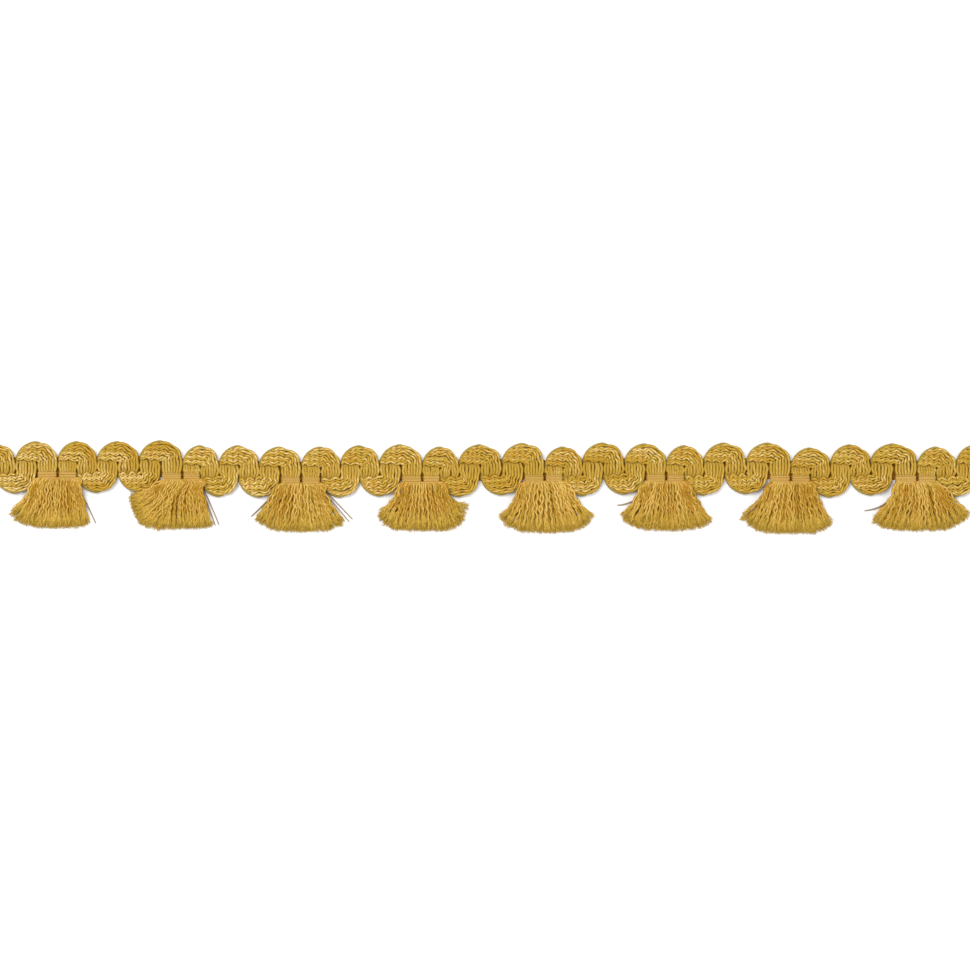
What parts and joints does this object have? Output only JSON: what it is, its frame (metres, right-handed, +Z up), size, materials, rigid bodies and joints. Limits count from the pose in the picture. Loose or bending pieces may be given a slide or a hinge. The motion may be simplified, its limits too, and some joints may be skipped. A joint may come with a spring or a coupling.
{
  "type": "tassel fringe trim",
  "caption": "Narrow cotton trim: a scroll gimp heading of flat plait in lobes, with short brush tassels hanging from its lower edge.",
  "frame": {"origin": "middle of the trim's box, on the surface that its back lies on", "axes": "+X along the trim, +Y from the tassels to the heading, +Z up out of the face"},
  "size_m": [0.2272, 0.0212, 0.0018],
  "materials": {
    "gimp_cotton": "soft plaited cotton",
    "tassel_cotton": "loose cut cotton yarn"
  },
  "bodies": {
    "root": {"gimp_heading": "gimp_cotton", "tassel_1": "tassel_cotton", "tassel_2": "tassel_cotton", "tassel_3": "tassel_cotton", "tassel_4": "tassel_cotton", "tassel_5": "tassel_cotton", "tassel_6": "tassel_cotton", "tassel_7": "tassel_cotton", "tassel_8": "tassel_cotton"}
  },
  "joints": []
}
